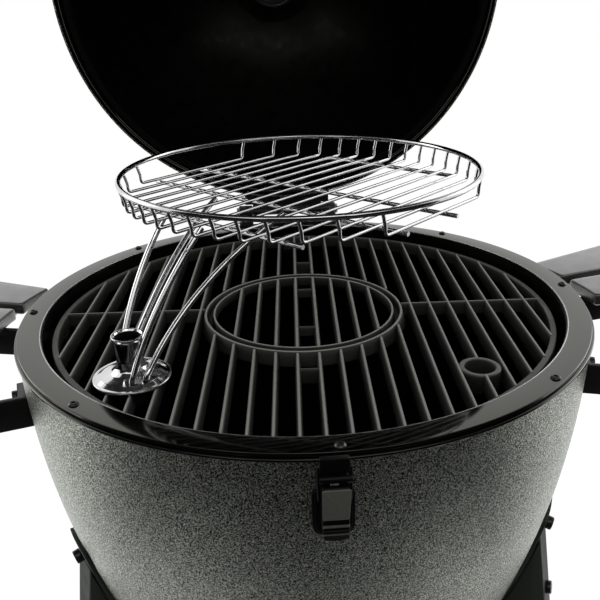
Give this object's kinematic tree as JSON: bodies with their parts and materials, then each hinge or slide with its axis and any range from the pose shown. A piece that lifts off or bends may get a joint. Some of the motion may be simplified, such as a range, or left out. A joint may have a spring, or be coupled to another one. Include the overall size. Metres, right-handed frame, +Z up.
{
  "type": "kamado grill",
  "caption": "Floor-standing kamado charcoal grill with an open insulated lid, cast-iron grid, swing-out wire rack, front latch and slatted side shelves.",
  "frame": {"origin": "on the floor under the bowl's axis", "axes": "+Z up, -Y to the front (latch side), +X to the cook's right seen from the front"},
  "size_m": [1.084, 0.8799, 1.4875],
  "materials": {
    "hammertone": "hammertone paint, semi-gloss",
    "black_enamel": "glossy black enamel",
    "black_paint": "satin black paint",
    "latch_paint": "dark grey paint with a black ridged grip",
    "leg_paint": "satin dark green-black paint",
    "black_screws": "blackened steel",
    "iron": "seasoned cast iron",
    "chrome_wire": "bright chrome plate",
    "steel": "satin",
    "resin": "moulded grey resin",
    "blanket": "mineral-fibre blanket",
    "gasket": "woven black seal",
    "grip": "black moulded plastic",
    "foot_rubber": "black rubber",
    "dial_white": "matt white",
    "pointer_red": "satin red",
    "clear_glass": "clear"
  },
  "bodies": {
    "base": {"bowl_shell": "hammertone", "bowl_liner": "black_enamel", "rim_ring": "black_enamel", "ash_tube": "black_enamel", "ash_housing": "black_paint", "hinge_base": "black_paint", "latch_base": "black_paint", "left_shelf_frame": "black_paint", "right_shelf_frame": "black_paint", "grid_lugs": "black_paint", "leg_front_left": "leg_paint", "leg_front_right": "leg_paint", "leg_rear_left": "leg_paint", "leg_rear_right": "leg_paint", "leg_straps": "leg_paint", "lower_tray": "leg_paint", "rim_screws": "black_screws", "leg_bolts": "black_screws", "tray_bolts": "black_screws", "hinge_bolts": "black_screws", "shelf_bolts": "black_screws", "cooking_grid": "iron", "grid_bars": "iron", "grid_insert": "iron", "charcoal_grate": "iron", "hinge_pins": "steel", "latch_pin": "steel", "axle": "steel", "left_slats": "resin", "right_slats": "resin", "bowl_insulation": "blanket", "front_feet": "foot_rubber"},
    "lid": {"lid_shell": "hammertone", "lid_insulation": "blanket", "lid_liner": "black_enamel", "lid_gasket": "gasket", "lid_hinge_plate": "black_paint", "lid_handle": "grip", "handle_posts": "steel", "latch_strike": "black_paint", "thermometer_case": "steel", "thermometer_dial": "dial_white", "thermometer_glass": "clear_glass", "vent_base": "black_paint", "vent_plate": "black_paint"},
    "rack": {"rack_post": "chrome_wire", "rack_rods": "chrome_wire", "rack_rim": "chrome_wire", "rack_wires": "chrome_wire", "rack_uprights": "chrome_wire", "rack_supports": "chrome_wire"},
    "vent": {"vent_cap": "black_paint", "vent_knob": "grip"},
    "pointer": {"thermometer_pointer": "pointer_red"},
    "lever": {"latch_lever": "latch_paint"},
    "bail": {"latch_bail": "black_paint"},
    "drawer": {"ash_drawer": "black_paint"},
    "damper": {"damper_slide": "steel"},
    "wheel_l": {"wheel_left": "grip"},
    "wheel_r": {"wheel_right": "grip"}
  },
  "joints": [
    {"name": "lid_hinge", "type": "hinge", "parent": "base", "child": "lid", "pos_m": [0, 0.296, 0.8595], "axis": [1, 0, 0], "range_deg": [0, 90]},
    {"name": "rack_swing", "type": "hinge", "parent": "base", "child": "rack", "pos_m": [-0.15436, -0.12952, 0.85], "axis": [0, 0, 1], "range_deg": [-150, 0]},
    {"name": "vent_turn", "type": "hinge", "parent": "lid", "child": "vent", "pos_m": [0, 0.56, 1.1555], "axis": [0, 1, 0], "range_deg": [0, 30]},
    {"name": "pointer_turn", "type": "hinge", "parent": "lid", "child": "pointer", "pos_m": [0, 0.2571, 1.1555], "axis": [0, 0.788, 0.6157], "range_deg": [-270, 0]},
    {"name": "lever_turn", "type": "hinge", "parent": "base", "child": "lever", "pos_m": [0, -0.28406, 0.83], "axis": [1, 0, 0], "range_deg": [-100, 0]},
    {"name": "bail_turn", "type": "hinge", "parent": "lever", "child": "bail", "pos_m": [0, -0.28706, 0.821], "axis": [1, 0, 0], "range_deg": [0, 100]},
    {"name": "drawer_slide", "type": "slide", "parent": "base", "child": "drawer", "axis": [0, -1, 0], "range_m": [0, 0.12]},
    {"name": "damper_slide", "type": "slide", "parent": "drawer", "child": "damper", "axis": [1, 0, 0], "range_m": [0, 0.016]},
    {"name": "wheel_left_spin", "type": "hinge", "parent": "base", "child": "wheel_l", "pos_m": [-0.31366, 0.17387, 0.08], "axis": [1, 0, 0], "continuous": true},
    {"name": "wheel_right_spin", "type": "hinge", "parent": "base", "child": "wheel_r", "pos_m": [0.31366, 0.17387, 0.08], "axis": [1, 0, 0], "continuous": true}
  ],
  "couplings": [
    {"joint": "bail_turn", "follows": "lever_turn", "ratio": -1}
  ]
}
